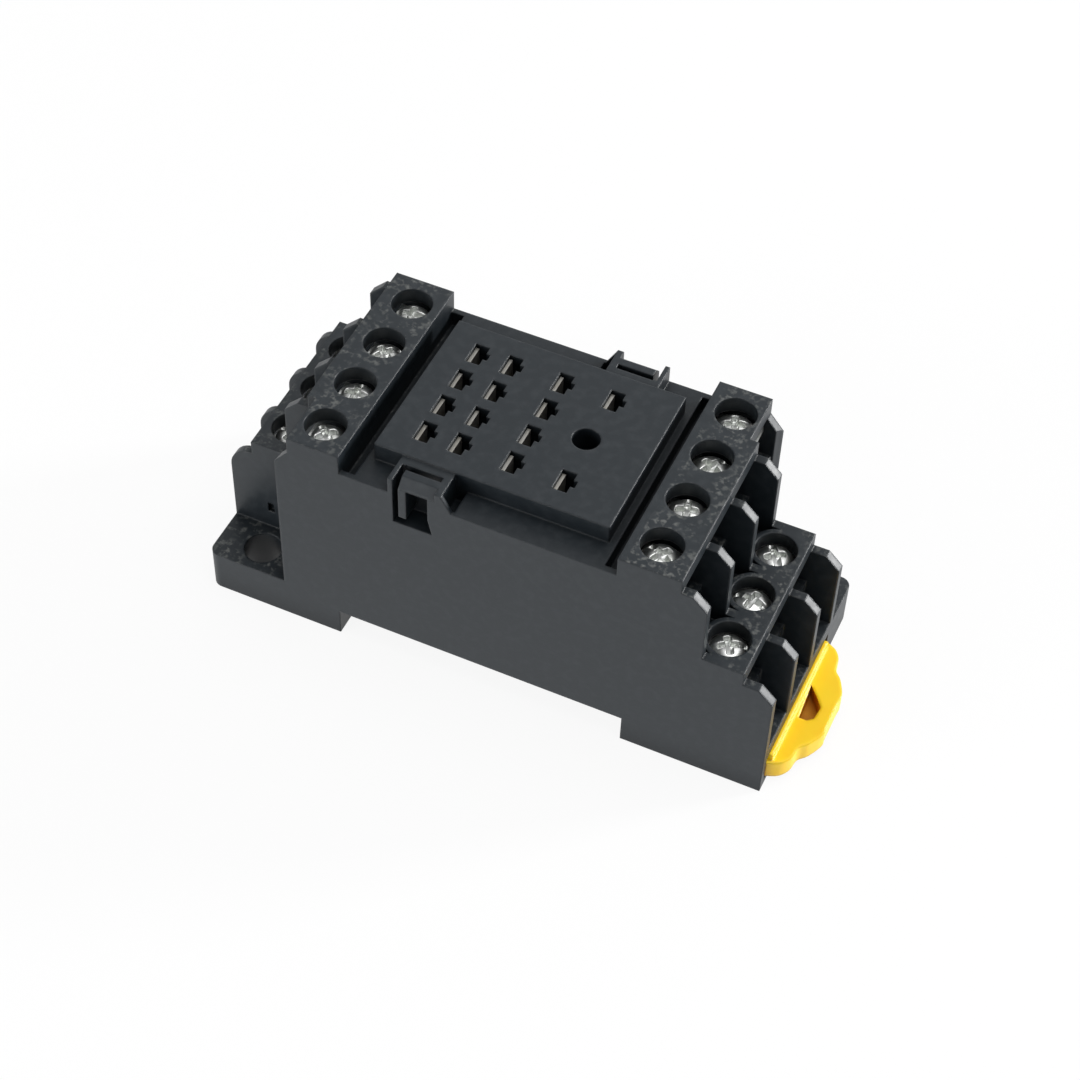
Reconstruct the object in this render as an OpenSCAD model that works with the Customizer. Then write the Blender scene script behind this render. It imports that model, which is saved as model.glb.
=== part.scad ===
// Screw-terminal relay socket, 14 contacts, for a 35 mm mounting rail or two screws.
// X runs along the socket, towards the release end. Y runs along the rail. Z is up.
// The origin is the centre of the rail channel, in the plane of the base. Millimetres.

/* [Housing] */
// Width across the sides, measured along the rail
body_w = 28.7; // [28.4:0.1:32]
// Reach of the fixed-hook end from the rail's centre line
left_reach = 35; // [34.8:0.1:37]
// Reach of the release end from the rail's centre line
right_reach = 34.7; // [34.6:0.1:38]
// Offset of the decks and the relay seat, towards the fixed-hook end
deck_shift = 0.5; // [0.3:0.05:0.7]
// Thickness of the outer side walls
wall_t = 1.1; // [0.9:0.05:1.3]
// Thickness of the barriers between terminals
barrier_t = 1.1; // [0.9:0.05:1.3]
// Height of the two mounting feet
foot_h = 5.6; // [5.5:0.1:6.4]
// Radius of the feet's outer corners
corner_r = 1.3; // [0.8:0.1:1.6]

/* [Decks] */
// Height of the upper terminal decks
deck_h = 30.4; // [30.2:0.05:31]
// Thickness of both terminal decks
deck_t = 2; // [1.6:0.1:2.2]
// Half length to the outer edge of the upper decks
deck_edge = 23.7; // [23.2:0.1:24]
// Half length to the inner edge of the upper decks
deck_inner = 16.4; // [16.2:0.05:16.6]
// Drop from a deck to the shoulder of its barriers
shoulder_drop = 1.85; // [1.4:0.05:2.4]
// Half length to the tip of the upper barriers
barrier_reach = 26.75; // [26.4:0.05:27]
// Size of the bevel at the tip of each barrier
barrier_bevel = 1.75; // [1:0.05:2]
// Radius of the lower barriers' tips at the fixed-hook end
lobe_r = 3; // [2.6:0.1:3.2]
// Height of the lower terminal decks
tier_h = 19.2; // [18.8:0.1:19.8]
// Half length to the outer edge of the lower decks
tier_edge = 31.6; // [31.4:0.05:31.8]
// Depth of the wire pockets below the lower decks
pocket_depth = 3.2; // [2.8:0.1:3.6]
// Height of the shoulder over each foot, below the upper decks
shoulder_depth = 4.6; // [4.4:0.1:5]
// Least wall between a pocket and a clamp's chamber
chamber_wall = 0.6; // [0.5:0.05:0.7]

/* [Relay seat] */
// Depth of the relay seat below the upper decks
seat_sink = 0.2; // [0.1:0.05:0.4]
// Length of the relay seat
seat_l = 27.8; // [27:0.1:28.6]
// Width of the relay seat
seat_w = 21.2; // [20.8:0.1:21.8]
// Depth of the two side shelves below the upper decks
shelf_sink = 2.6; // [2.2:0.1:3]
// Width of the grooves along the upper decks
groove_w = 1.6; // [1.4:0.05:1.8]
// Depth of the grooves below the upper decks
groove_depth = 4.6; // [4:0.1:5]
// Wall between a groove's end and the side
groove_wall = 0.7; // [0.5:0.05:1]
// Thickness of the seat above the contact pockets
roof_t = 1.3; // [1:0.05:1.6]
// First column of relay pins, from the decks' centre, towards the fixed-hook end
column_1 = 9.7; // [9.6:0.05:9.8]
// Second column of relay pins, towards the fixed-hook end
column_2 = 5.55; // [5.45:0.05:5.65]
// Third column of relay pins, towards the release end
column_3 = 0.7; // [0.6:0.05:0.8]
// Fourth column of relay pins, towards the release end
column_4 = 6.9; // [6.8:0.05:7]
// Key hole, from the decks' centre towards the release end
key_x = 6.5; // [6.3:0.05:6.7]
// Pitch of the relay pins across the seat
pin_pitch = 4.4; // [4.3:0.05:4.5]
// Length of a pin slot
slot_l = 3; // [2.8:0.1:3.1]
// Width of a pin slot
slot_w = 1.7; // [1.5:0.05:1.9]
// Length of the small relief beside each slot
relief_l = 1; // [0.6:0.1:1.4]
// Depth of the small relief beside each slot
relief_w = 0.5; // [0.3:0.05:0.6]
// Diameter of the key hole
key_d = 3.2; // [2.8:0.1:3.4]
// Depth of the key hole
key_depth = 6; // [4:0.5:8]

/* [Clip posts] */
// Outer edge of a hold-down post, from the decks' centre
post_outer = 10.45; // [10.3:0.05:10.6]
// Inner edge of a hold-down post, from the decks' centre
post_inner = 4.1; // [3.9:0.05:4.3]
// Depth of a post's top below the upper decks
post_sink = 0.45; // [0.3:0.05:0.8]
// Width of the horns at the two ends of a post
horn_w = 0.75; // [0.6:0.05:0.85]
// Bevel of a post's outer edge between its horns
post_bevel = 1.1; // [0.9:0.05:1.2]
// Length of the ramp beside a post
ramp_l = 1.2; // [1:0.1:1.5]
// Thickness of the ramp beside a post
ramp_t = 0.5; // [0.4:0.05:0.6]
// Length of the pit behind the ramp
pit_l = 1.4; // [1.2:0.1:1.6]
// Depth of the pit behind the ramp, below the shelf
pit_depth = 1.8; // [1.2:0.1:2.4]
// Distance from the side to the slot in the top of a post
post_slot_in = 2; // [1.9:0.05:2.1]
// Length of the slot in the top of a post
post_slot_l = 4.5; // [4.2:0.1:4.6]
// Width of the slot in the top of a post
post_slot_w = 0.7; // [0.6:0.05:0.8]
// Depth of the slot in the top of a post
post_slot_depth = 3.4; // [2.5:0.1:4]
// Depth of the latch window into the side
window_depth = 2.6; // [2:0.1:2.8]
// Top of the latch window, below the upper decks
window_top = 1.6; // [1.5:0.05:1.8]
// Foot of the latch window, below the upper decks
window_foot = 7.1; // [6.8:0.1:7.4]
// Width of the slit beside the latch
slit_w = 0.7; // [0.6:0.05:0.8]
// Overlap of the slit with its horn
slit_in = 0.2; // [0.1:0.05:0.25]
// Width of the latch bar
latch_w = 0.9; // [0.8:0.05:1]
// Length of the gap under the latch bar
latch_gap = 1.1; // [0.8:0.1:1.4]
// Length of the window beside the latch bar
window_l = 2.6; // [2.3:0.05:2.8]
// Flare of the window at its foot
window_flare = 0.5; // [0.3:0.05:0.6]
// Height of the window's flare
window_flare_h = 2.2; // [1.6:0.1:2.6]

/* [Terminals] */
// Width of the sides beyond the terminal rows
side_margin = 0.35; // [0.3:0.01:0.4]
// Half length to the upper screws
upper_screw = 19.85; // [19.7:0.05:20]
// Half length to the lower screws
lower_screw = 28.4; // [28.2:0.05:28.6]
// Diameter of the screw wells
well_d = 4.8; // [4.6:0.05:5]
// Wall of the collar round each lower well
collar_t = 0.6; // [0.45:0.05:0.7]
// Depth of the upper terminal plates below their deck
upper_drop = 6.9; // [6.8:0.05:7]
// Depth of the lower terminal plates below their deck
lower_drop = 6.1; // [6:0.05:6.2]
// Set-back of a terminal plate's end behind its clamp's edge
plate_back = 0.4; // [0.2:0.05:0.5]
// Play on each side of a clamp or a plate
clamp_play = 0.15; // [0.1:0.01:0.2]

/* [Screws and clamps] */
// Thread diameter
screw_d = 3; // [2.8:0.05:3.1]
// Length under the head
screw_l = 7.2; // [7:0.1:7.4]
// Diameter of the head
head_d = 4.2; // [4:0.05:4.4]
// Height of the head
head_h = 1.8; // [1.6:0.05:1.9]
// Depth of an upper head's top below its deck, as stored
upper_sink = 1.5; // [1.4:0.05:1.6]
// Depth of a lower head's top below its deck, as stored
lower_sink = 0.9; // [0.8:0.05:1]
// Thickness of a clamp
clamp_t = 0.8; // [0.7:0.05:0.9]
// Room under a screw's tip when it is tightened
tip_room = 0.2; // [0.15:0.05:0.3]
// Stroke of a screw and its clamp, from stored to tight
travel = 2.2; // [2:0.05:2.25]
// Room round a screw's shank in the housing, on the diameter
shank_room = 1; // [0.8:0.1:1.2]
// Length of a clamp along the socket
clamp_l = 5.2; // [5:0.1:5.4]
// Radial clearance of a screw in its clamp and its plate
screw_fit = 0.05; // [0.03:0.01:0.08]
// Height of the bevel at a screw's tip
screw_bevel = 0.4; // [0.3:0.05:0.5]
// Width of the dome at the head's edge
dome_edge = 0.9; // [0.7:0.05:1]
// Width of the cross recess
drive_w = 0.8; // [0.75:0.05:0.95]
// Depth of the cross recess
drive_depth = 1; // [0.8:0.05:1.1]
// Span of the cross recess
cross_l = 2.6; // [2.4:0.1:2.7]
// Width of the slot across the head
slot_drive_w = 0.6; // [0.5:0.05:0.7]
// Depth of the slot across the head
slot_drive_depth = 0.6; // [0.5:0.05:0.7]

/* [Contacts] */
// Thickness of the contact strip
strip_t = 0.8; // [0.7:0.05:0.9]
// Width of the contact strip
strip_w = 2.2; // [2:0.05:2.3]
// Width of a fork
fork_w = 2.6; // [2.4:0.05:2.7]
// Thickness of a fork's leaves
leaf_t = 0.4; // [0.3:0.05:0.45]
// Depth of a fork's fixed leaf below the seat
leaf_sink = 0.5; // [0.4:0.05:0.8]
// Clearance round a contact in its pocket
pocket_play = 0.3; // [0.2:0.05:0.35]
// Height of the underside of the upper contact runs
upper_run = 18.2; // [18:0.1:18.6]
// Distance from a clamp's inner edge to the leg of its contact
leg_in = 0.6; // [0.55:0.05:0.65]
// Distance from the sides to the outer runs of the contacts
outer_in = 5.65; // [5.6:0.05:5.7]
// Distance from the sides to the low outer runs
edge_in = 4.15; // [4.1:0.05:4.2]
// Offset of the inner low runs from the second row of pins
lane_step = 0.8; // [0.75:0.05:0.85]
// Depth of the fork's narrow lip below its top
lip_in = 1.6; // [1.4:0.1:1.8]
// Length of the bent part below the lip
bend_l = 1.4; // [1.2:0.1:1.6]
// Inward lean of the spring leaf
lean = 0.3; // [0.2:0.05:0.35]

/* [Base] */
// Height of the upper side of the base cover
cover_top = 6.5; // [6.4:0.05:6.8]
// Thickness of the base cover's wings
cover_t = 1.2; // [1:0.05:1.3]
// Half length of the base cover
cover_reach = 27; // [26.6:0.1:27.4]
// Clearance round the base cover
cover_play = 0.1; // [0.05:0.01:0.15]
// Half length of the narrow part of the base cover, beside the solid feet
cover_waist = 21.2; // [21:0.1:21.4]
// Half width of the base cover's wings beside the solid feet
wing_half = 6.4; // [6.2:0.05:6.5]

/* [Rail and mounting] */
// Width of the rail channel
channel_w = 35.5; // [35.3:0.05:35.8]
// Depth of the rail channel
channel_h = 3.7; // [3.5:0.05:3.9]
// Overhang of the fixed hook and of the clip's nose
hook_l = 1.5; // [1.2:0.05:1.7]
// Height of the gap above the hooks, for the rail's edge
rail_gap = 1.25; // [1.15:0.05:1.4]
// Height of the underside of the hooks
hook_base = 0.6; // [0.4:0.1:0.8]
// Half width of the fixed hook
hook_half = 8; // [7:0.5:9]
// Thickness of the wall at each side of the channel
channel_wall = 1.6; // [1.4:0.1:1.8]
// Diameter of the mounting holes
hole_d = 4.5; // [4.2:0.1:4.7]
// Distance between the mounting holes along the socket
hole_span_x = 59; // [58.6:0.1:59.4]
// Distance from a mounting hole to the nearer side
hole_edge = 3.35; // [3.2:0.05:3.5]
// Radius of the driver recess above each mounting hole
recess_r = 6.5; // [6.3:0.05:6.7]
// Length of the small mark in each recess's inner wall
mark_l = 0.8; // [0.6:0.1:1]
// Height of the mark
mark_h = 1.4; // [1:0.1:1.6]
// Depth of the mark
mark_depth = 0.5; // [0.3:0.05:0.6]
// Height of the mark's foot above the mounting foot
mark_up = 2.6; // [2:0.1:3]

/* [Rail clip] */
// Height of the underside of the clip
clip_base = 1.15; // [1.1:0.05:1.3]
// Thickness of the clip
clip_t = 2.4; // [2.2:0.05:2.5]
// Height of the ridge along the clip's pull
ridge_h = 0.8; // [0.6:0.05:0.9]
// Width of the ridge
ridge_w = 1; // [0.8:0.05:1.1]
// Reach of the ridge beyond the release end
ridge_out = 0.4; // [0.3:0.05:0.5]
// Distance from the ridge's ends to the clip's ends
ridge_in = 0.6; // [0.5:0.1:1]
// Reach of the pull's middle beyond the release end
pull_reach = 4.3; // [4.1:0.1:4.5]
// Reach of the pull's ends beyond the release end
pull_neck = 2.5; // [2.4:0.1:2.7]
// Distance from the release end to the driver's notch
notch_in = 0.65; // [0.55:0.05:0.75]
// Length of the driver's notch
notch_l = 5; // [4.4:0.1:5.4]
// Width of the driver's notch
notch_w = 2.1; // [1.8:0.1:2.3]
// Depth of the driver's notch
notch_depth = 1.8; // [1.4:0.1:1.9]
// Half width of the clip's tongue
tongue_w = 4.4; // [4:0.1:4.8]
// Thickness of the spring arms
arm_t = 1.2; // [1:0.05:1.4]
// Length of the spring arms
arm_l = 11; // [10.5:0.1:11.2]
// Distance from the clip's sides to the spring arms
arm_in = 1.4; // [1.2:0.1:1.5]
// Bend at the spring arms' ends
arm_bow = 2.4; // [2:0.1:2.8]
// Length of the clip's root inside the housing
root_l = 1.6; // [1.5:0.1:1.8]
// Width of the ledges that carry the clip
ledge_w = 1.2; // [1:0.1:1.4]
// Clearance of the clip in its guide
clip_play = 0.3; // [0.25:0.01:0.35]

/* [Hidden] */
$fn = 64;
over = 1;
half_w = body_w / 2;
terminals = 4;
pitch = (body_w - 2 * side_margin) / terminals;
seat_h = deck_h - seat_sink;
shelf_h = deck_h - shelf_sink;
upper_plate = deck_h - upper_drop;
lower_plate = tier_h - lower_drop;
pocket_floor = tier_h - pocket_depth;
pocket_end = lower_screw - clamp_l / 2 - clamp_play - chamber_wall;
hole_y = half_w - hole_edge;
end = max(left_reach, right_reach) + deck_shift + over;
// Overlap of cuts that meet
seam = 0.1;
// Step of the arc at the barriers' rounded tips, in degrees
lobe_step = 10;
// Steps of a smooth curve between two of its points
curve_steps = 5;
// Half depth of the shoulder's overhang over a foot
recess_lip = 1;
// Rise of the slope that ends the shoulder
shoulder_rise = 2.4;
// Nudge of a fork towards the release end in its pocket
nudge = 0.05;
// Turn from one screw's driver recess to the next, in degrees
drive_step = 137.5;
lane_w = pitch - barrier_t;
clamp_w = lane_w - wall_t / 2 - 2 * clamp_play;
plate_w = clamp_w;
collar_r = well_d / 2 + collar_t;
columns = [-column_1, -column_2, column_3, column_4];
pocket_w = slot_w + 2 * pocket_play + leaf_t;
fork_base = upper_run;
clip_top = clip_base + clip_t;
cavity_top = clip_top + ridge_h + clip_play;
bay_inner = channel_w / 2 + channel_wall;
clip_near = -half_w + wall_t;
clip_far = pitch - barrier_t / 2;
clip_y = (clip_near + clip_far) / 2;
clip_half = (clip_far - clip_near) / 2 - clip_play;
// Outer lanes of contacts, which run between the pin columns and the side walls
outer_lane = half_w - outer_in;
edge_lane = half_w - edge_in;
inner_lane = pin_pitch + lane_step;

// Each contact: side (-1 left, 1 right), tier (1 upper, 0 lower), terminal row, pin column,
// pin row and the lane of its run
CONTACTS = [
    [-1, 1, 0, 0, 0, -outer_lane],
    [-1, 1, 1, 0, 1, pin_y(1)],
    [-1, 1, 2, 0, 2, pin_y(2)],
    [-1, 1, 3, 0, 3, outer_lane],
    [1, 1, 0, 3, 0, -outer_lane],
    [1, 1, 1, 2, 1, pin_y(1)],
    [1, 1, 2, 2, 2, pin_y(2)],
    [1, 1, 3, 3, 3, outer_lane],
    [-1, 0, 1, 1, 1, pin_y(1)],
    [-1, 0, 2, 1, 2, pin_y(2)],
    [-1, 0, 3, 1, 3, outer_lane],
    [1, 0, 0, 1, 0, -edge_lane],
    [1, 0, 1, 2, 0, -inner_lane],
    [1, 0, 2, 2, 3, inner_lane]
];
COUNT = len(CONTACTS);

function row_y(row) = (row - (terminals - 1) / 2) * pitch;
function pin_y(row) = (row - 1.5) * pin_pitch;
function deck_x(x) = x - deck_shift;
function term_x(c) = deck_x(c[0] * (c[1] == 1 ? upper_screw : lower_screw));
function term_y(c) = row_y(c[2]);
function plate_z(c) = c[1] == 1 ? upper_plate : lower_plate;
function top_z(c) = c[1] == 1 ? deck_h : tier_h;
function sink(c) = c[1] == 1 ? upper_sink : lower_sink;
function head_z(c) = top_z(c) - sink(c) - head_h;
function run_z(c) = c[1] == 1 ? upper_run : cover_top;
function fork_x(c) = deck_x(columns[c[3]]);
// The inner edge of a terminal plate, where its leg turns down
function leg_x(c) = term_x(c) - c[0] * (clamp_l / 2 + leg_in);

// A block given by its lowest and highest corners
module block(a, b) {
    translate(a)
        cube(b - a);
}

// A profile in the X-Z plane, carried across the socket between two Y values
module across(y0, y1) {
    translate([0, y1, 0])
        rotate([90, 0, 0])
            linear_extrude(height = y1 - y0)
                children();
}

// One half of what is the same at both ends when the socket is turned round
module both_ends() {
    for (turn = [0, 180])
        translate([-deck_shift, 0, 0])
            rotate([0, 0, turn])
                children();
}

// ---- Housing ----

// Side view of the body: two decks at each end, the shelf between them, the rail channel
module side_profile() {
    tip_z = deck_h - shoulder_drop;
    low_z = tier_h - shoulder_drop;
    difference() {
        polygon([
            [-left_reach, 0],
            [right_reach, 0],
            [right_reach, low_z - barrier_bevel],
            [right_reach - barrier_bevel, low_z],
            [deck_x(tier_edge), low_z],
            [deck_x(tier_edge), tier_h],
            [deck_x(barrier_reach), tier_h],
            [deck_x(barrier_reach), tip_z - barrier_bevel],
            [deck_x(barrier_reach - barrier_bevel), tip_z],
            [deck_x(deck_edge), tip_z],
            [deck_x(deck_edge), deck_h],
            [deck_x(-deck_edge), deck_h],
            [deck_x(-deck_edge), tip_z],
            [deck_x(-barrier_reach + barrier_bevel), tip_z],
            [deck_x(-barrier_reach), tip_z - barrier_bevel],
            [deck_x(-barrier_reach), tier_h],
            [deck_x(-tier_edge), tier_h],
            [deck_x(-tier_edge), low_z],
            for (a = [90 : lobe_step : 180])
                [-left_reach + lobe_r * (1 + cos(a)), low_z + lobe_r * (sin(a) - 1)]
        ]);
        translate([-channel_w / 2, -over])
            square([channel_w, channel_h + over]);
    }
}

// The seat, its two shelves and the two end grooves, cut between the upper decks
module seat_cut() {
    side = half_w - groove_wall;
    difference() {
        block([-deck_inner, -half_w - over, shelf_h], [deck_inner, half_w + over, deck_h + over]);
        block([-seat_l / 2, -seat_w / 2, shelf_h - over], [seat_l / 2, seat_w / 2, seat_h]);
    }
    both_grooves()
        block([-deck_inner, -side, deck_h - groove_depth], [-deck_inner + groove_w, side, deck_h]);
}

// The same groove beside both upper decks
module both_grooves() {
    for (turn = [0, 180])
        rotate([0, 0, turn])
            children();
}

// A hold-down post on its shelf: two horns, a bevelled outer edge between them, and a ramp
module post() {
    top = deck_h - post_sink;
    inner = -seat_w / 2 + over;
    block([-post_outer, -half_w + post_bevel, shelf_h - over], [-post_inner, inner, top]);
    block([-post_outer, -half_w, shelf_h - over], [-post_outer + horn_w, inner, top]);
    block([-post_inner - horn_w, -half_w, shelf_h - over], [-post_inner, inner, top]);
    block([-post_outer, -half_w, shelf_h - over], [-post_inner, inner, top - post_bevel]);
    translate([-post_outer, 0, 0])
        rotate([90, 0, 90])
            linear_extrude(height = post_outer - post_inner)
                polygon([
                    [-half_w, top - post_bevel - over],
                    [-half_w, top - post_bevel],
                    [-half_w + post_bevel, top],
                    [-half_w + 2 * post_bevel, top - post_bevel - over]
                ]);
    across(-half_w, -half_w + ramp_t)
        polygon([
            [-post_inner - horn_w, shelf_h - over],
            [-post_inner - horn_w, top],
            [-post_inner, top],
            [-post_inner + ramp_l, shelf_h],
            [-post_inner + ramp_l, shelf_h - over]
        ]);
}

// The slot in a post's top, and the latch window in the side, with its bar and slit
module post_cuts() {
    slot_x = -(post_outer + post_inner) / 2;
    slot_y = -half_w + post_slot_in;
    slit_x = -post_outer + horn_w - slit_in;
    bar_x = slit_x + slit_w;
    window_x = bar_x + latch_w;
    foot = deck_h - window_foot;
    block([-post_inner, -half_w + ramp_t, shelf_h - pit_depth], [-post_inner + pit_l, -seat_w / 2, deck_h]);
    block([slot_x - post_slot_l / 2, slot_y, deck_h - post_slot_depth],
        [slot_x + post_slot_l / 2, slot_y + post_slot_w, deck_h + over]);
    across(-half_w - over, -half_w + window_depth)
        polygon([
            [slit_x, foot],
            [slit_x, deck_h + over],
            [bar_x, deck_h + over],
            [bar_x, foot + latch_gap],
            [window_x, foot + latch_gap],
            [window_x, deck_h - window_top],
            [window_x + window_l, deck_h - window_top],
            [window_x + window_l, foot + window_flare_h],
            [window_x + window_l + window_flare, foot]
        ]);
}

// Room for the wires in front of one upper terminal, and the chamber of its clamp
module upper_lane(row) {
    y0 = max(row_y(row) - lane_w / 2, -half_w + wall_t);
    y1 = min(row_y(row) + lane_w / 2, half_w - wall_t);
    inner = upper_screw - clamp_l / 2 - clamp_play;
    shank = upper_plate - screw_l;
    block([deck_edge, y0, pocket_floor], [pocket_end, y1, deck_h + over]);
    block([deck_edge, y0, tier_h], [barrier_reach + over, y1, deck_h + over]);
    block([inner, y0, upper_plate], [deck_edge + over, y1, deck_h - deck_t]);
    block([inner - strip_t - pocket_play, y0, upper_plate - strip_t],
        [deck_edge + over, y1, upper_plate + seam]);
    translate([upper_screw, row_y(row), shank])
        cylinder(d = screw_d + shank_room, h = screw_l);
    translate([upper_screw, row_y(row), upper_plate])
        cylinder(d = well_d, h = deck_h + over - upper_plate);
}

// The same for one lower terminal, with the rounded collar of its well
module lower_lane(row) {
    y0 = max(row_y(row) - lane_w / 2, -half_w + wall_t);
    y1 = min(row_y(row) + lane_w / 2, half_w - wall_t);
    inner = lower_screw - clamp_l / 2 - clamp_play;
    tip = tier_h - lower_sink - head_h - screw_l - travel - tip_room;
    difference() {
        block([deck_edge, y0, tier_h - deck_t + chamber_wall], [lower_screw, y1, tier_h + over]);
        translate([lower_screw, row_y(row), 0])
            cylinder(r = collar_r, h = deck_h);
    }
    block([tier_edge, y0, cover_top], [end, y1, deck_h]);
    block([inner, y0, lower_plate], [tier_edge + over, y1, tier_h - deck_t]);
    block([inner - strip_t - pocket_play, y0, lower_plate - strip_t],
        [tier_edge + over, y1, lower_plate + seam]);
    translate([lower_screw, row_y(row), tip])
        cylinder(d = screw_d + shank_room, h = deck_h - tip);
    translate([lower_screw, row_y(row), lower_plate])
        cylinder(d = well_d, h = deck_h - lower_plate);
}

// The driver recess over a mounting hole, at the row that has no lower terminal
module foot_recess() {
    y0 = pitch + barrier_t / 2;
    hole_x = hole_span_x / 2 + deck_shift;
    edge_x = deck_edge - recess_lip;
    low = deck_h - shoulder_depth;
    translate([0, 0, foot_h])
        linear_extrude(height = deck_h)
            intersection() {
                union() {
                    translate([hole_x, hole_y])
                        circle(r = recess_r);
                    translate([hole_x, -body_w])
                        square([end - hole_x, 2 * body_w]);
                }
                translate([0, y0])
                    square([end + over, body_w]);
            }
    across(y0, half_w + over)
        polygon([
            [edge_x, deck_h + over],
            [edge_x, low + shoulder_rise],
            [edge_x + 2 * recess_lip, low],
            [end, low],
            [end, deck_h + over]
        ]);
    // small mark in the recess's inner wall
    translate([hole_x - mark_l, y0 - mark_depth, foot_h + mark_up])
        cube([mark_l, mark_depth + over, mark_h]);
}

// Pockets of one contact: its leg, its run and its fork, open towards the base
module contact_pocket(c) {
    gap = pocket_play;
    side = c[0];
    x_leg = leg_x(c);
    x_fork = fork_x(c);
    y_lane = c[5];
    y_fork = pin_y(c[4]);
    half = strip_w / 2 + gap;
    // leg
    block([x_leg - strip_t / 2 - gap, y_lane - half, cover_top - over],
        [x_leg + strip_t / 2 + gap, y_lane + half, plate_z(c) - seam]);
    // run
    block([min(x_leg, x_fork), y_lane - half, cover_top - over],
        [max(x_leg, x_fork), y_lane + half, run_z(c) + strip_t + gap]);
    // turn towards the fork
    block([x_fork - pocket_w / 2, min(y_lane, y_fork) - half, cover_top - over],
        [x_fork + pocket_w / 2, max(y_lane, y_fork) + half, fork_base + strip_t + gap]);
    // fork
    block([x_fork - pocket_w / 2, y_fork - fork_w / 2 - gap, cover_top - over],
        [x_fork + pocket_w / 2, y_fork + fork_w / 2 + gap, seat_h - roof_t]);
}

// The slot that a relay pin enters, with its small relief
module pin_slot(c) {
    translate([fork_x(c), pin_y(c[4]), seat_h - roof_t - seam])
        linear_extrude(height = roof_t + over)
            union() {
                square([slot_w, slot_l], center = true);
                translate([slot_w / 2, 0])
                    square([2 * relief_w, relief_l], center = true);
            }
}

// The two corners over the solid feet, where the base has no bay
module foot_corners(reach, half, base) {
    for (turn = [0, 180])
        rotate([0, 0, turn])
            block([-reach - over, -half_w - over, base], [-cover_waist, -half, cover_top + over]);
}

// Bays in the underside: the cover's seat, the hollow foot and the clip's guide
module base_bays() {
    inner_w = half_w - wall_t - cover_play;
    reach = cover_reach + cover_play;
    difference() {
        union() {
            // seat of the base cover
            block([-reach, -inner_w, cover_top - cover_t - cover_play], [reach, inner_w, cover_top]);
            block([-channel_w / 2, -inner_w, -over], [channel_w / 2, inner_w, cover_top]);
            // hollow of the left foot, behind the fixed hook
            block([-reach, -inner_w, -over], [-bay_inner, inner_w, cover_top]);
        }
        foot_corners(reach, wing_half + 2 * cover_play, -2 * over);
    }
    // guide of the rail clip
    block([bay_inner - over - channel_wall, clip_y - tongue_w - clip_play, -over],
        [bay_inner + over, clip_y + tongue_w + clip_play, cavity_top]);
    block([bay_inner, clip_near, clip_base - clip_play / 2], [right_reach + over, clip_far, cavity_top]);
    block([bay_inner, clip_near + ledge_w, -over], [right_reach + over, clip_far - ledge_w, cavity_top]);
}

// What is cut off a foot to round its outer corner, here at the origin
module corner_cut() {
    difference() {
        block([-over, -over, -over], [corner_r, corner_r, foot_h + over]);
        translate([corner_r, corner_r, -2 * over])
            cylinder(r = corner_r, h = foot_h + 4 * over);
    }
}

module housing() {
    foot_x = hole_span_x / 2;
    color([0.16, 0.17, 0.18])
        difference() {
            union() {
                difference() {
                    across(-half_w, half_w)
                        side_profile();
                    both_ends() {
                        for (row = [0 : terminals - 1])
                            upper_lane(row);
                        for (row = [0 : terminals - 2])
                            lower_lane(row);
                        foot_recess();
                    }
                    translate([-deck_shift, 0, 0])
                        seat_cut();
                    base_bays();
                    for (c = CONTACTS)
                        contact_pocket(c);
                }
                // posts for the hold-down clips
                both_ends()
                    post();
                // fixed hook under the rail's edge
                block([-channel_w / 2 - over / 2, -hook_half, hook_base],
                    [-channel_w / 2 + hook_l, hook_half, channel_h - rail_gap]);
            }
            for (c = CONTACTS)
                pin_slot(c);
            translate([deck_x(key_x), 0, seat_h - key_depth])
                cylinder(d = key_d, h = key_depth + over);
            both_ends()
                post_cuts();
            translate([-left_reach, -half_w, 0])
                corner_cut();
            translate([right_reach, half_w, 0])
                rotate([0, 0, 180])
                    corner_cut();
            for (side = [-1, 1])
                translate([side * foot_x, side * hole_y, -over])
                    cylinder(d = hole_d, h = foot_h + 2 * over);
        }
}

// ---- Base cover ----

// A plate with a raised middle, which closes the contact pockets and forms the channel's roof
module base_cover() {
    inner_w = half_w - wall_t - 2 * cover_play;
    color([0.2, 0.21, 0.22])
        difference() {
            union() {
                block([-cover_reach, -inner_w, cover_top - cover_t], [cover_reach, inner_w, cover_top]);
                block([-channel_w / 2 + cover_play, -inner_w, channel_h],
                    [channel_w / 2 - cover_play, inner_w, cover_top - cover_t / 2]);
            }
            foot_corners(cover_reach, wing_half + cover_play, -over);
        }
}

// ---- Contacts ----

// Side view of a fork: a fixed leaf, and a spring leaf that bears on it
module fork_profile(leaf_top) {
    foot = fork_base;
    lip = leaf_top - lip_in;
    outer = slot_w / 2 + nudge;
    translate([-slot_w / 2 + nudge, foot])
        square([leaf_t, leaf_top - foot]);
    translate([-slot_w / 2 + nudge, foot])
        square([slot_w, strip_t]);
    polygon([
        [outer - leaf_t, foot],
        [outer, foot],
        [outer - lean, lip - bend_l],
        [outer + nudge, lip],
        [outer + nudge - leaf_t, lip],
        [outer - lean - leaf_t, lip - bend_l]
    ]);
}

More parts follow.
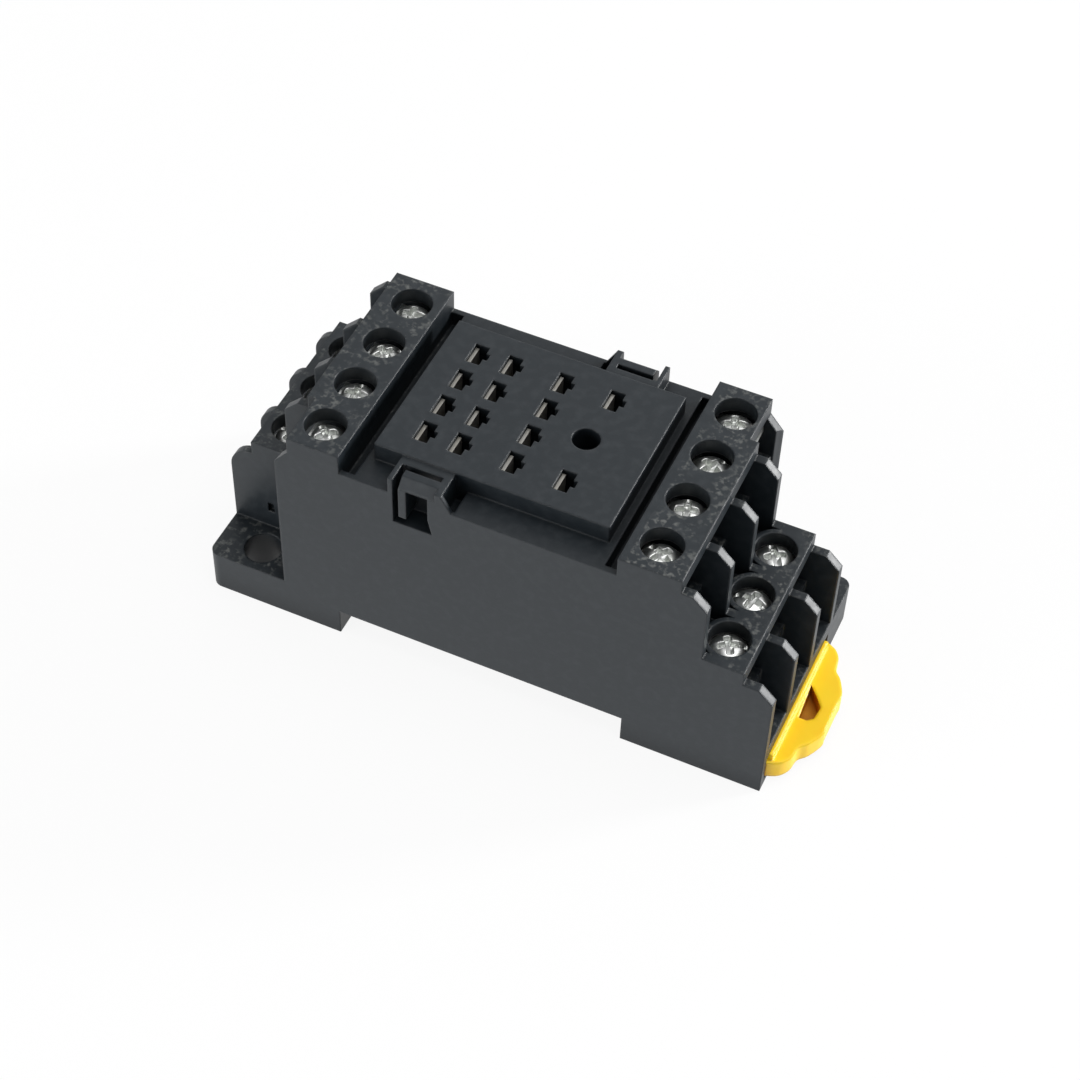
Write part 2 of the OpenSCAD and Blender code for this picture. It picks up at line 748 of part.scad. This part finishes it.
// A stamped strip: the plate under its screw, a leg, a run, and the fork for the relay's pin
module contact(c) {
    side = c[0];
    x_leg = leg_x(c);
    x_fork = fork_x(c);
    x_end = term_x(c) + side * (clamp_l / 2 - plate_back);
    y_lane = c[5];
    y_fork = pin_y(c[4]);
    top = plate_z(c);
    run = run_z(c);
    half = strip_w / 2;
    color([0.78, 0.74, 0.62])
        difference() {
            union() {
                block([min(x_leg, x_end), term_y(c) - plate_w / 2, top - strip_t],
                    [max(x_leg, x_end), term_y(c) + plate_w / 2, top]);
                block([x_leg - strip_t / 2, y_lane - half, run], [x_leg + strip_t / 2, y_lane + half, top]);
                block([min(x_leg, x_fork), y_lane - half, run],
                    [max(x_leg, x_fork), y_lane + half, run + strip_t]);
                block([x_fork - slot_w / 2 + nudge, min(y_lane, y_fork) - half, run],
                    [x_fork + slot_w / 2 + nudge, max(y_lane, y_fork) + half, run + strip_t]);
                if (run < fork_base)
                    block([x_fork - slot_w / 2 + nudge, y_fork - half, run],
                        [x_fork - slot_w / 2 + nudge + strip_t, y_fork + half, fork_base + strip_t]);
                translate([x_fork, 0, 0])
                    across(y_fork - fork_w / 2, y_fork + fork_w / 2)
                        fork_profile(seat_h - leaf_sink);
            }
            translate([term_x(c), term_y(c), top - strip_t - over])
                cylinder(d = screw_d + 2 * screw_fit, h = strip_t + 2 * over);
        }
}

// ---- Clamps and screws ----

// A square captive washer that presses the wire on its plate
module clamp(c) {
    color([0.8, 0.8, 0.8])
        translate([term_x(c), term_y(c), head_z(c) - clamp_t])
            difference() {
                translate([-clamp_l / 2, -clamp_w / 2, 0])
                    cube([clamp_l, clamp_w, clamp_t]);
                translate([0, 0, -over])
                    cylinder(d = screw_d + 2 * screw_fit, h = clamp_t + 2 * over);
            }
}

// A terminal screw: domed head with a slot and a cross, plain shank with a bevelled end
module screw(i) {
    c = CONTACTS[i - 1];
    color([0.86, 0.86, 0.86])
        translate([term_x(c), term_y(c), head_z(c)])
            rotate([0, 0, i * drive_step])
                difference() {
                    rotate_extrude()
                        polygon([
                            [0, -screw_l],
                            [screw_d / 2 - screw_bevel, -screw_l],
                            [screw_d / 2, -screw_l + screw_bevel],
                            [screw_d / 2, 0],
                            [head_d / 2, 0],
                            [head_d / 2, head_h * 0.55],
                            [head_d / 2 - dome_edge / 3, head_h * 0.8],
                            [head_d / 2 - dome_edge, head_h],
                            [0, head_h]
                        ]);
                    translate([0, 0, head_h])
                        cube([head_d + over, slot_drive_w, 2 * slot_drive_depth], center = true);
                    for (turn = [0, 90])
                        rotate([0, 0, turn])
                            translate([0, 0, head_h])
                                cube([cross_l, drive_w, 2 * drive_depth], center = true);
                }
}

// ---- Rail clip ----

// A smooth curve through the points p, with the same number of steps between each two
function smooth(p) = [
    for (i = [0 : len(p) - 2])
        for (j = [0 : curve_steps - 1])
            between(p[max(i - 1, 0)], p[i], p[i + 1], p[min(i + 2, len(p) - 1)], j / curve_steps),
    p[len(p) - 1]
];
// The point at the fraction t of the way from b to c, on a curve that also runs by a and d
function between(a, b, c, d, t) = (2 * b + (c - a) * t + (2 * a - 5 * b + 4 * c - d) * pow(t, 2)
    + (3 * b - a - 3 * c + d) * pow(t, 3)) / 2;

// Edge of the pull, from one end (side 1) or the other (side -1) to the middle
function pull_edge(side) = [
    [right_reach, side * clip_half],
    [right_reach + pull_neck * 0.55, side * (clip_half - pull_neck * 0.27)],
    [right_reach + pull_neck * 0.88, side * (clip_half - pull_neck * 0.75)],
    [right_reach + pull_neck, side * (clip_half - pull_neck * 1.4)],
    [right_reach + (pull_neck + pull_reach) / 2, side * clip_half * 0.52],
    [right_reach + pull_reach, side * clip_half * 0.32],
    [right_reach + pull_reach, side * clip_half * 0.18]
];

// Outline of the clip seen from above: pull, tongue and two spring arms
module clip_outline() {
    root = right_reach - root_l;
    nose = channel_w / 2 - hook_l;
    tip = root - arm_l;
    arm_y = clip_half - arm_in;
    far = pull_edge(1);
    near = pull_edge(-1);
    // tongue
    translate([nose, -tongue_w])
        square([root + over - nose, 2 * tongue_w]);
    // root and pull
    polygon(concat(
        [[root, clip_half]],
        smooth(concat(far, [for (i = [len(near) - 1 : -1 : 0]) near[i]])),
        [[root, -clip_half]]
    ));
    // spring arms
    for (side = [-1, 1])
        scale([1, side])
            polygon([
                [root + seam, arm_y],
                [root + seam, arm_y - arm_t],
                [tip + arm_bow, arm_y - arm_bow / 3 - arm_t],
                [tip + seam, arm_y - arm_t],
                [tip, arm_y + arm_bow / 4],
                [tip + arm_t, arm_y + arm_bow / 3],
                [tip + arm_bow, arm_y - arm_bow / 3]
            ]);
}

// The driver's notch in the pull, seen from above: wide near one end, pointed at the other
module notch_outline() {
    x0 = right_reach + notch_in;
    polygon([
        [x0, notch_l * 0.58],
        [x0 + notch_w * 0.55, notch_l * 0.32],
        [x0 + notch_w, notch_l * 0.06],
        [x0 + notch_w * 0.92, -notch_l * 0.3],
        [x0 + notch_w * 0.6, -notch_l * 0.42],
        [x0 + notch_w * 0.15, -notch_l * 0.42]
    ]);
}

module rail_clip() {
    nose = channel_w / 2 - hook_l;
    ridge_x = right_reach + ridge_out;
    color([0.98, 0.76, 0.08])
        translate([0, clip_y, 0])
            difference() {
                union() {
                    translate([0, 0, clip_base])
                        linear_extrude(height = clip_t)
                            clip_outline();
                    // nose that goes under the rail's edge
                    block([nose, -tongue_w, hook_base], [bay_inner + 2 * over, tongue_w, clip_base + seam]);
                    // ridge along the inner edge of the pull
                    block([ridge_x - ridge_w, -clip_half + ridge_in, clip_top - seam],
                        [ridge_x, clip_half - ridge_in, clip_top + ridge_h]);
                }
                block([nose - over, -half_w, channel_h - rail_gap], [channel_w / 2, half_w, clip_top + over]);
                translate([0, 0, clip_top - notch_depth])
                    linear_extrude(height = notch_depth + over)
                        notch_outline();
            }
}

housing();
base_cover();
rail_clip();
for (i = [1 : COUNT]) contact(CONTACTS[i - 1]);
for (i = [1 : COUNT]) clamp(CONTACTS[i - 1]);
for (i = [1 : COUNT]) screw(i);
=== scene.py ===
"""Looks of a screw-terminal relay socket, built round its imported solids."""

import bpy
import numpy as np
from mathutils import Matrix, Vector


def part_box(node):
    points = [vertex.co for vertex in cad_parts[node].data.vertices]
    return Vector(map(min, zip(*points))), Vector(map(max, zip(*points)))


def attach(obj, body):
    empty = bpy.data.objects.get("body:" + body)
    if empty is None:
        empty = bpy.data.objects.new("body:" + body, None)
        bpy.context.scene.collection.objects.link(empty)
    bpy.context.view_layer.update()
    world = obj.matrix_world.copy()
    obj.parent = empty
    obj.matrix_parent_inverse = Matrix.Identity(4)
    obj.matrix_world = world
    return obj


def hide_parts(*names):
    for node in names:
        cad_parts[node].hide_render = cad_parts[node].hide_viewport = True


MM = 0.001

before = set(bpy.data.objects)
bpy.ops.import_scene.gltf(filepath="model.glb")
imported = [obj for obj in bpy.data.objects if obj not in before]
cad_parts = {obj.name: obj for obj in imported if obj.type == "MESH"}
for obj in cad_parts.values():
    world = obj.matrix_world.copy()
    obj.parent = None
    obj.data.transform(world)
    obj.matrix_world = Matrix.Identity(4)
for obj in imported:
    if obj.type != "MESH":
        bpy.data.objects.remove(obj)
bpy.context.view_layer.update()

# ---- Camera ----
# A long lens looks down on the near long side and the release end, from far off, so
# that edges which are parallel on the socket stay nearly parallel.

camera_right = (0.909331, 0.415365, 0.024267)
camera_down = (0.329192, -0.682558, -0.652493)
camera_forward = (-0.254459, 0.601321, -0.757406)
camera_place = (72.349 * MM, -168.630 * MM, 223.288 * MM)
lens_mm = 81.2
sensor_mm = 36.0
nearest_seen = 0.01
furthest_seen = 20


def stand(holder, right, down, forward, place):
    """Puts a camera or lamp at a place: x to its right, y against down, z against forward."""
    bpy.context.scene.collection.objects.link(holder)
    axes = np.eye(4)
    axes[:3] = np.stack([right, -np.array(down), -np.array(forward), place], 1)
    holder.matrix_world = Matrix(axes.tolist())


camera_data = bpy.data.cameras.new("camera")
camera_data.lens = lens_mm
camera_data.sensor_width = sensor_mm
camera_data.clip_start = nearest_seen
camera_data.clip_end = furthest_seen
camera = bpy.data.objects.new("camera", camera_data)
stand(camera, camera_right, camera_down, camera_forward, camera_place)
bpy.context.scene.camera = camera
bpy.context.scene.view_settings.view_transform = "Standard"

# ---- Table and light ----
# The socket stands on a white table that runs up into a white backdrop, under one broad
# soft lamp in front, a second one above, and a narrow one at the release end.

table_white = (0.82, 0.82, 0.82, 1)
plain_white = (1, 1, 1, 1)
table_glow = 0.9
table_gap = 0.02 * MM
table_half = 1.2
backdrop_rise = 1.5
backdrop_sweep = 0.5
line_steps = 41
table_lanes = 9
world_light = 0.5
lamps = {
    "front_lamp": {"place": (-0.75, -0.95, 0.3), "size": 0.7, "watts": 9.6},
    "top_lamp": {"place": (0.3, 0.08, 1.0), "size": 0.7, "watts": 4.2},
    "end_lamp": {"place": (0.9, 0.72, 0.31), "size": 0.22, "watts": 15.0},
}


def piece_from(name, points, faces):
    """An object at the origin whose mesh has these points and faces."""
    mesh = bpy.data.meshes.new(name)
    mesh.from_pydata(points.tolist(), [], faces)
    piece = bpy.data.objects.new(name, mesh)
    bpy.context.scene.collection.objects.link(piece)
    return piece


def table_surface(name, half, rise, sweep):
    """A line in y and z carried along x from -2 half to 2 half: level from y = -half to half,
    then a quarter round of radius sweep, then a wall of height rise."""
    u = np.linspace(0, 1, line_steps)
    level = np.stack([-half + u * 2 * half, 0 * u], 1)
    turn = u[1:] * np.pi / 2
    bend = np.stack([half + sweep * np.sin(turn), sweep * (1 - np.cos(turn))], 1)
    wall = np.stack([half + sweep + 0 * u[1:], sweep + rise * u[1:]], 1)
    line = np.concatenate([level, bend, wall])
    along = np.linspace(-2 * half, 2 * half, table_lanes)
    x, step = np.meshgrid(along, np.arange(len(line)), indexing="ij")
    points = np.stack([x, line[step, 0], line[step, 1] - table_gap], -1).reshape(-1, 3)
    index = np.arange(len(points)).reshape(x.shape)
    near, far = index[:-1], index[1:]
    corners = [near[:, :-1], far[:, :-1], far[:, 1:], near[:, 1:]]
    return piece_from(name, points, np.stack(corners, -1).reshape(-1, 4).tolist())


def feed(tree, value, socket):
    """Links a value that varies to a socket, or sets the socket to a plain number or colour."""
    if isinstance(value, bpy.types.NodeSocket):
        tree.links.new(value, socket)
    else:
        socket.default_value = value


def combine(tree, operation, first, second=0.0):
    """One value worked out from one or two, such as their product or the higher of them."""
    worked = tree.nodes.new("ShaderNodeMath")
    worked.operation = operation
    feed(tree, first, worked.inputs[0])
    feed(tree, second, worked.inputs[1])
    return worked.outputs[0]


def table_paint():
    """White paint: (1 - g) matte + g plain white, with g = table_glow for the camera, in
    mirrors and through glass, and 0 for all other light, so that the shadow stays."""
    paint = bpy.data.materials.new("table_white")
    paint.use_nodes = True
    tree = paint.node_tree
    tree.nodes.clear()
    out = tree.nodes.new("ShaderNodeOutputMaterial")
    matte = tree.nodes.new("ShaderNodeBsdfDiffuse")
    matte.inputs["Color"].default_value = table_white
    glow = tree.nodes.new("ShaderNodeEmission")
    glow.inputs["Color"].default_value = plain_white
    path = tree.nodes.new("ShaderNodeLightPath")
    seen = path.outputs["Is Camera Ray"]
    for ray in ("Is Glossy Ray", "Is Transmission Ray"):
        seen = combine(tree, "MAXIMUM", seen, path.outputs[ray])
    mix = tree.nodes.new("ShaderNodeMixShader")
    feed(tree, combine(tree, "MULTIPLY", seen, table_glow), mix.inputs[0])
    feed(tree, matte.outputs[0], mix.inputs[1])
    feed(tree, glow.outputs[0], mix.inputs[2])
    feed(tree, mix.outputs[0], out.inputs["Surface"])
    return paint


table = table_surface("table", table_half, backdrop_rise, backdrop_sweep)
table.data.materials.append(table_paint())

world = bpy.data.worlds.new("studio")
world.use_nodes = True
bpy.context.scene.world = world
sky = world.node_tree.nodes["Background"]
sky.inputs["Color"].default_value = plain_white
sky.inputs["Strength"].default_value = world_light

for lamp_name, lamp in lamps.items():
    light = bpy.data.lights.new(lamp_name, "AREA")
    light.shape = "SQUARE"
    light.size = lamp["size"]
    light.energy = lamp["watts"]
    aim = -np.array(lamp["place"]) / np.linalg.norm(lamp["place"])
    side = np.cross(aim, (0, 0, 1.0))
    side /= np.linalg.norm(side)
    holder = bpy.data.objects.new(lamp_name, light)
    stand(holder, side, np.cross(aim, side), aim, lamp["place"])

# ---- Housing and base cover ----
# Two mouldings in black glass-filled nylon, fine satin, with edges rounded by the mould
# and a faint dusty mottling on the skin. The cover closes the housing from below.

nylon_black = (0.0105, 0.0150, 0.0192, 1)
nylon_worn = (0.0195, 0.0245, 0.0292, 1)
nylon_index = 1.5
nylon_gleam = 0.42
housing_gloss = 0.36
cover_gloss = 0.42
mould_round = 0.32 * MM
bevel_rays = 6
sky_rays = 8
# Painted shade on the nylon: how far open sky is sought, and how dark closed-in faces get.
shade_reach = 4.5 * MM
shade_low = 0.48
shade_band = (0.25, 0.95)
dust_grain, dust_octaves = 900.0, 6
dust_band = (0.45, 0.75)
dust_matting = 0.16
skin_grain, skin_octaves = 4200.0, 3
skin_bump = 0.12
skin_depth = 0.04 * MM
speck_grain = 1700.0
speck_clump = 380.0
speck_octaves = 2
speck_band = (0.50, 0.68)
clump_band = (0.40, 0.62)
upward_band = (0.5, 0.9)
deck_band = (16.6 * MM, 16.8 * MM)
speck_tone = (0.10, 0.105, 0.102, 1)


def own_material(name):
    """A new material: itself, its node tree, its shader, and the piece's own coordinates."""
    finish = bpy.data.materials.new(name)
    finish.use_nodes = True
    tree = finish.node_tree
    place = tree.nodes.new("ShaderNodeTexCoord").outputs["Object"]
    return finish, tree, tree.nodes["Principled BSDF"], place


def noise_over(tree, place, scale, octaves):
    """Soft noise from 0 to 1, with scale waves to the metre and that many finer layers."""
    noise = tree.nodes.new("ShaderNodeTexNoise")
    noise.inputs["Scale"].default_value = scale
    noise.inputs["Detail"].default_value = octaves
    feed(tree, place, noise.inputs["Vector"])
    return noise.outputs["Fac"]


def spread(tree, source, low=0.0, high=1.0, to_low=0.0, to_high=1.0):
    """A straight line from to_low at low to to_high at high, held level outside them."""
    line = tree.nodes.new("ShaderNodeMapRange")
    line.inputs["From Min"].default_value = low
    line.inputs["From Max"].default_value = high
    line.inputs["To Min"].default_value = to_low
    line.inputs["To Max"].default_value = to_high
    feed(tree, source, line.inputs["Value"])
    return line.outputs["Result"]


def two_tones(tree, source, band, first, second):
    """The first tone below the band, the second above it, and a straight blend inside it."""
    tones = tree.nodes.new("ShaderNodeValToRGB")
    for stop, position, tone in zip(tones.color_ramp.elements, band, (first, second)):
        stop.position = position
        stop.color = tone
    feed(tree, source, tones.inputs["Fac"])
    return tones.outputs["Color"]


def mix_tones(tree, share, first, second, blend="MIX"):
    """The first colour where share is 0, and the second, or their product, where it is 1.
    The mixer's sockets 6 and 7 take the two colours, and its output 2 gives the mixed one."""
    mixer = tree.nodes.new("ShaderNodeMix")
    mixer.data_type = "RGBA"
    mixer.blend_type = blend
    feed(tree, share, mixer.inputs[0])
    feed(tree, first, mixer.inputs[6])
    feed(tree, second, mixer.inputs[7])
    return mixer.outputs[2]


def axis_of(tree, vector, axis):
    """One axis of a vector."""
    axes = tree.nodes.new("ShaderNodeSeparateXYZ")
    feed(tree, vector, axes.inputs[0])
    return axes.outputs[axis]


def open_sky(tree, reach):
    """The share of directions in front of a face that meet nothing within reach."""
    sky_seen = tree.nodes.new("ShaderNodeAmbientOcclusion")
    sky_seen.samples = sky_rays
    sky_seen.inputs["Distance"].default_value = reach
    return sky_seen.outputs["AO"]


def bump_skin(tree, skin, height, strength, depth, rounding=None):
    """Bumps a skin by a height, over edges that look rounded to the radius where one is given."""
    bump = tree.nodes.new("ShaderNodeBump")
    bump.inputs["Strength"].default_value = strength
    bump.inputs["Distance"].default_value = depth
    feed(tree, height, bump.inputs["Height"])
    if rounding is not None:
        rounded = tree.nodes.new("ShaderNodeBevel")
        rounded.samples = bevel_rays
        rounded.inputs["Radius"].default_value = rounding
        feed(tree, rounded.outputs["Normal"], bump.inputs["Normal"])
    feed(tree, bump.outputs["Normal"], skin.inputs["Normal"])


def moulded_nylon(name, gloss):
    """Black nylon: colour drifts between two near tones, roughness drifts with it, and a fine
    grain bumps the skin. Specks gather where two noises are both high, on the decks only:
    |x| above deck_band on a face that looks up. Painted shade: colour and gleam both fall
    with the share of open sky, so wells and bays are darkened."""
    nylon, tree, skin, place = own_material(name)
    skin.inputs["IOR"].default_value = nylon_index
    skin.inputs["Specular IOR Level"].default_value = nylon_gleam
    dust = noise_over(tree, place, dust_grain, dust_octaves)
    tone = two_tones(tree, dust, dust_band, nylon_black, nylon_worn)
    from_middle = combine(tree, "ABSOLUTE", axis_of(tree, place, "X"))
    facing = tree.nodes.new("ShaderNodeNewGeometry").outputs["Normal"]
    share = spread(tree, from_middle, *deck_band)
    for source, band in (
        (axis_of(tree, facing, "Z"), upward_band),
        (noise_over(tree, place, speck_grain, speck_octaves), speck_band),
        (noise_over(tree, place, speck_clump, speck_octaves), clump_band),
    ):
        share = combine(tree, "MULTIPLY", share, spread(tree, source, *band))
    specked = mix_tones(tree, share, tone, speck_tone)
    # Painted shade: base colour and gleam are darkened where little open sky is seen, in wells
    # and bays.
    light = spread(tree, open_sky(tree, shade_reach), *shade_band, to_low=shade_low)
    feed(tree, mix_tones(tree, 1.0, specked, light, "MULTIPLY"), skin.inputs["Base Color"])
    feed(tree, light, skin.inputs["Specular Tint"])
    rough = spread(tree, dust, to_low=gloss, to_high=gloss + dust_matting)
    feed(tree, rough, skin.inputs["Roughness"])
    grain = noise_over(tree, place, skin_grain, skin_octaves)
    bump_skin(tree, skin, grain, skin_bump, skin_depth, mould_round)
    return nylon


def dress(node, finish):
    """Gives every face of a carried-over solid one finish."""
    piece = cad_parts[node]
    piece.data.materials.clear()
    piece.data.materials.append(finish)


dress("housing", moulded_nylon("black_nylon", housing_gloss))
dress("base_cover", moulded_nylon("black_nylon_inner", cover_gloss))

# ---- Rail clip ----
# One moulding in yellow acetal, slippery and a little see-through at its edges, which
# slides under the rail's edge and springs back on its own two arms.

acetal_yellow = (0.94, 0.64, 0.010, 1)
acetal_deep = (0.92, 0.56, 0.006, 1)
acetal_shade = (0.44, 0.130, 0.001, 1)
acetal_gloss = 0.34
acetal_index = 1.48
inner_share = 0.15
inner_colour = (1.0, 0.6, 0.1)
inner_reach = 0.6 * MM
drift_grain, drift_octaves = 260.0, 3
drift_band = (0.35, 0.8)
drift_bump = 0.1
drift_depth = 0.05 * MM
notch_reach = 2.2 * MM
notch_band = (0.35, 0.85)
pull_top = 3.55 * MM
pull_band = (pull_top - 0.25 * MM, pull_top - 0.05 * MM)
clip_round = 0.5 * MM


def yellow_acetal():
    """Yellow acetal: a soft drift to a deeper tone, a low even gloss and a little light carried
    below the skin. Painted shade: the tone turns to a dark orange below the pull's top where
    little open sky is left, as down in the notch."""
    acetal, tree, skin, place = own_material("yellow_acetal")
    skin.inputs["Roughness"].default_value = acetal_gloss
    skin.inputs["IOR"].default_value = acetal_index
    skin.inputs["Subsurface Weight"].default_value = inner_share
    skin.inputs["Subsurface Radius"].default_value = inner_colour
    skin.inputs["Subsurface Scale"].default_value = inner_reach
    drift = noise_over(tree, place, drift_grain, drift_octaves)
    tone = two_tones(tree, drift, drift_band, acetal_yellow, acetal_deep)
    # Painted shade: acetal_shade is mixed in where little open sky is seen below the pull's top.
    opened = spread(tree, open_sky(tree, notch_reach), *notch_band)
    above = spread(tree, axis_of(tree, place, "Z"), *pull_band)
    clear = combine(tree, "MAXIMUM", opened, above)
    feed(tree, mix_tones(tree, clear, acetal_shade, tone), skin.inputs["Base Color"])
    bump_skin(tree, skin, drift, drift_bump, drift_depth, clip_round)
    return acetal


dress("rail_clip", yellow_acetal())

# ---- Contacts and clamps ----
# Contacts are stamped from tinned brass strip, clamps from zinc-plated steel. Both are
# left as they come off the press, with fine rolling lines along the strip.

cloud_grain, cloud_octaves = 700.0, 3
cloud_band = (0.35, 0.75)
line_octaves = 4
line_matting = 0.2
line_bump = 0.15
line_depth = 0.02 * MM


def plated_sheet(name, colour, tint, roughness, line_scale):
    """Plated sheet metal: noise with line_scale waves to the metre along each axis gives
    rolling lines in the roughness and the skin, and a broad noise tints the plating."""
    plate, tree, skin, place = own_material(name)
    skin.inputs["Metallic"].default_value = 1.0
    stretch = tree.nodes.new("ShaderNodeMapping")
    stretch.inputs["Scale"].default_value = line_scale
    feed(tree, place, stretch.inputs["Vector"])
    lines = noise_over(tree, stretch.outputs["Vector"], 1.0, line_octaves)
    cloud = noise_over(tree, place, cloud_grain, cloud_octaves)
    feed(tree, two_tones(tree, cloud, cloud_band, colour, tint), skin.inputs["Base Color"])
    rough = spread(tree, lines, to_low=roughness, to_high=roughness + line_matting)
    feed(tree, rough, skin.inputs["Roughness"])
    bump_skin(tree, skin, lines, line_bump, line_depth)
    return plate


tinned_brass = plated_sheet(
    "tinned_brass",
    colour=(0.50, 0.49, 0.46, 1),
    tint=(0.40, 0.38, 0.33, 1),
    roughness=0.34,
    line_scale=(9000, 900, 900),
)
zinc_steel = plated_sheet(
    "zinc_steel",
    colour=(0.66, 0.68, 0.68, 1),
    tint=(0.56, 0.57, 0.52, 1),
    roughness=0.30,
    line_scale=(1200, 8000, 1200),
)
terminals = [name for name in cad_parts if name.startswith("screw_")]
for name in terminals:
    number = name.split("_")[1]
    dress("contact_" + number, tinned_brass)
    dress("clamp_" + number, zinc_steel)

# ---- Terminal screws ----
# Fourteen zinc-plated M3 pan-head screws, rolled thread, with a cross recess that has
# one arm cut right across for a flat blade. They stop at odd angles.

thread_pitch = 0.5 * MM
thread_depth = 0.28 * MM
thread_radius = 1.49 * MM
thread_fade = 0.5 * MM
thread_stop = 0.1 * MM
tip_taper = 0.3 * MM
tip_rings = (0.0, 0.5, 0.85)
tip_lift = 0.05 * MM
seat_gap = 0.02 * MM
head_radius = 2.1 * MM
head_height = 1.8 * MM
head_rim = 0.06 * MM
under_ring = 0.72
side_low = 0.04
side_share = 0.5
crown_share = 0.46
crown_power = 3.2
arm_half = 0.32 * MM
arm_reach = 1.2 * MM
arm_depth = 0.85 * MM
slot_depth = 0.42 * MM
recess_draft = 0.1 * MM
turn_step = 2.4
rounds = 72
rows_a_turn = 7
side_rows = 9
crown_rows = 45


def smooth(value, low, high):
    """A smooth step from 0 at low to 1 at high: t * t * (3 - 2 t)."""
    t = np.clip((value - low) / (high - low), 0, 1)
    return t * t * (3 - 2 * t)


def screw_profile(tip_z, seat_z, top_z):
    """Radius and height from tip to crown, and the shank's count of rows. On the crown
    z = top_z - crown_share * head_height * (r / head_radius) ** crown_power."""
    shank_rows = int((seat_z - tip_z) / thread_pitch * rows_a_turn)
    tip_r = np.array(tip_rings) * thread_radius
    tip = np.stack([tip_r, 0 * tip_r + tip_z], 1)
    shank_z = np.linspace(tip_z + tip_lift, seat_z - seat_gap, shank_rows)
    shank = np.stack([0 * shank_z + thread_radius, shank_z], 1)
    under_r = np.array([thread_radius, under_ring * head_radius, head_radius - head_rim])
    under = np.stack([under_r, 0 * under_r + seat_z], 1)
    side_z = seat_z + (side_low + side_share * np.linspace(0, 1, side_rows)) * head_height
    side = np.stack([0 * side_z + head_radius, side_z], 1)
    crown_r = head_radius * (1 - np.linspace(0, 1, crown_rows + 1)[1:])
    crown_z = top_z - crown_share * head_height * (crown_r / head_radius) ** crown_power
    crown = np.stack([crown_r, crown_z], 1)
    return np.concatenate([tip, shank, under, side, crown]), shank_rows


def screw_surface(name, centre, tip_z, top_z, turn):
    """The profile (r, z) carried round the axis by the angle a. On the shank r falls by
    thread_depth * saw, with saw = (1 - cos(2 pi z / pitch - a)) / 2, and the thread fades at
    both ends. On the crown z falls by slot_depth in the slot and arm_depth in the cross."""
    seat_z = top_z - head_height
    profile, shank_rows = screw_profile(tip_z, seat_z, top_z)
    angle = np.linspace(0, 2 * np.pi, rounds, endpoint=False)
    r = np.repeat(profile[:, :1], rounds, 1)
    z = np.repeat(profile[:, 1:], rounds, 1)
    phase = (z - tip_z) / thread_pitch - angle / (2 * np.pi)
    saw = 0.5 - 0.5 * np.cos(2 * np.pi * phase)
    start = smooth(z, tip_z, tip_z + thread_fade)
    end = smooth(z, seat_z - thread_fade, seat_z - thread_stop)
    threaded = r - thread_depth * np.maximum(saw, end) - tip_taper * (1 - start) * (1 - saw)
    shank = slice(len(tip_rings), len(tip_rings) + shank_rows)
    r[shank] = threaded[shank]
    along = r * np.cos(angle)
    across = r * np.sin(angle)
    slot = smooth(arm_half - np.abs(across), -recess_draft, recess_draft)
    second = smooth(arm_half - np.abs(along), -recess_draft, recess_draft)
    reach = smooth(arm_reach - np.hypot(along, across), -recess_draft, recess_draft)
    drop = np.maximum(slot_depth * slot, arm_depth * np.maximum(slot, second) * reach)
    z[-crown_rows:] -= drop[-crown_rows:]
    x = centre[0] + r * np.cos(angle + turn)
    y = centre[1] + r * np.sin(angle + turn)
    rings = np.stack([x, y, z], -1)
    points = np.concatenate([rings[0, :1], rings[1:-1].reshape(-1, 3), rings[-1, :1]])
    here = np.arange(1, len(points) - 1).reshape(-1, rounds)
    ahead = np.roll(here, -1, axis=1)
    walls = np.stack([here[:-1], ahead[:-1], ahead[1:], here[1:]], -1).reshape(-1, 4)
    tip_fan = np.stack([ahead[0], here[0], 0 * here[0]], 1)
    crown_fan = np.stack([here[-1], ahead[-1], 0 * here[-1] + len(points) - 1], 1)
    faces = walls.tolist() + tip_fan.tolist() + crown_fan.tolist()
    piece = piece_from(name, points, faces)
    piece.data.shade_smooth()
    return piece


bright_zinc = plated_sheet(
    "bright_zinc",
    colour=(0.80, 0.81, 0.80, 1),
    tint=(0.68, 0.70, 0.66, 1),
    roughness=0.26,
    line_scale=(2500, 2500, 2500),
)
for name in terminals:
    number = name.split("_")[1]
    low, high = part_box(name)
    centre = ((low[0] + high[0]) / 2, (low[1] + high[1]) / 2)
    turn = turn_step * int(number)
    screw = screw_surface("terminal_screw_" + number, centre, low[2], high[2], turn)
    screw.data.materials.append(bright_zinc)
    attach(screw, "screw_body_" + number)
    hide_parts(name)
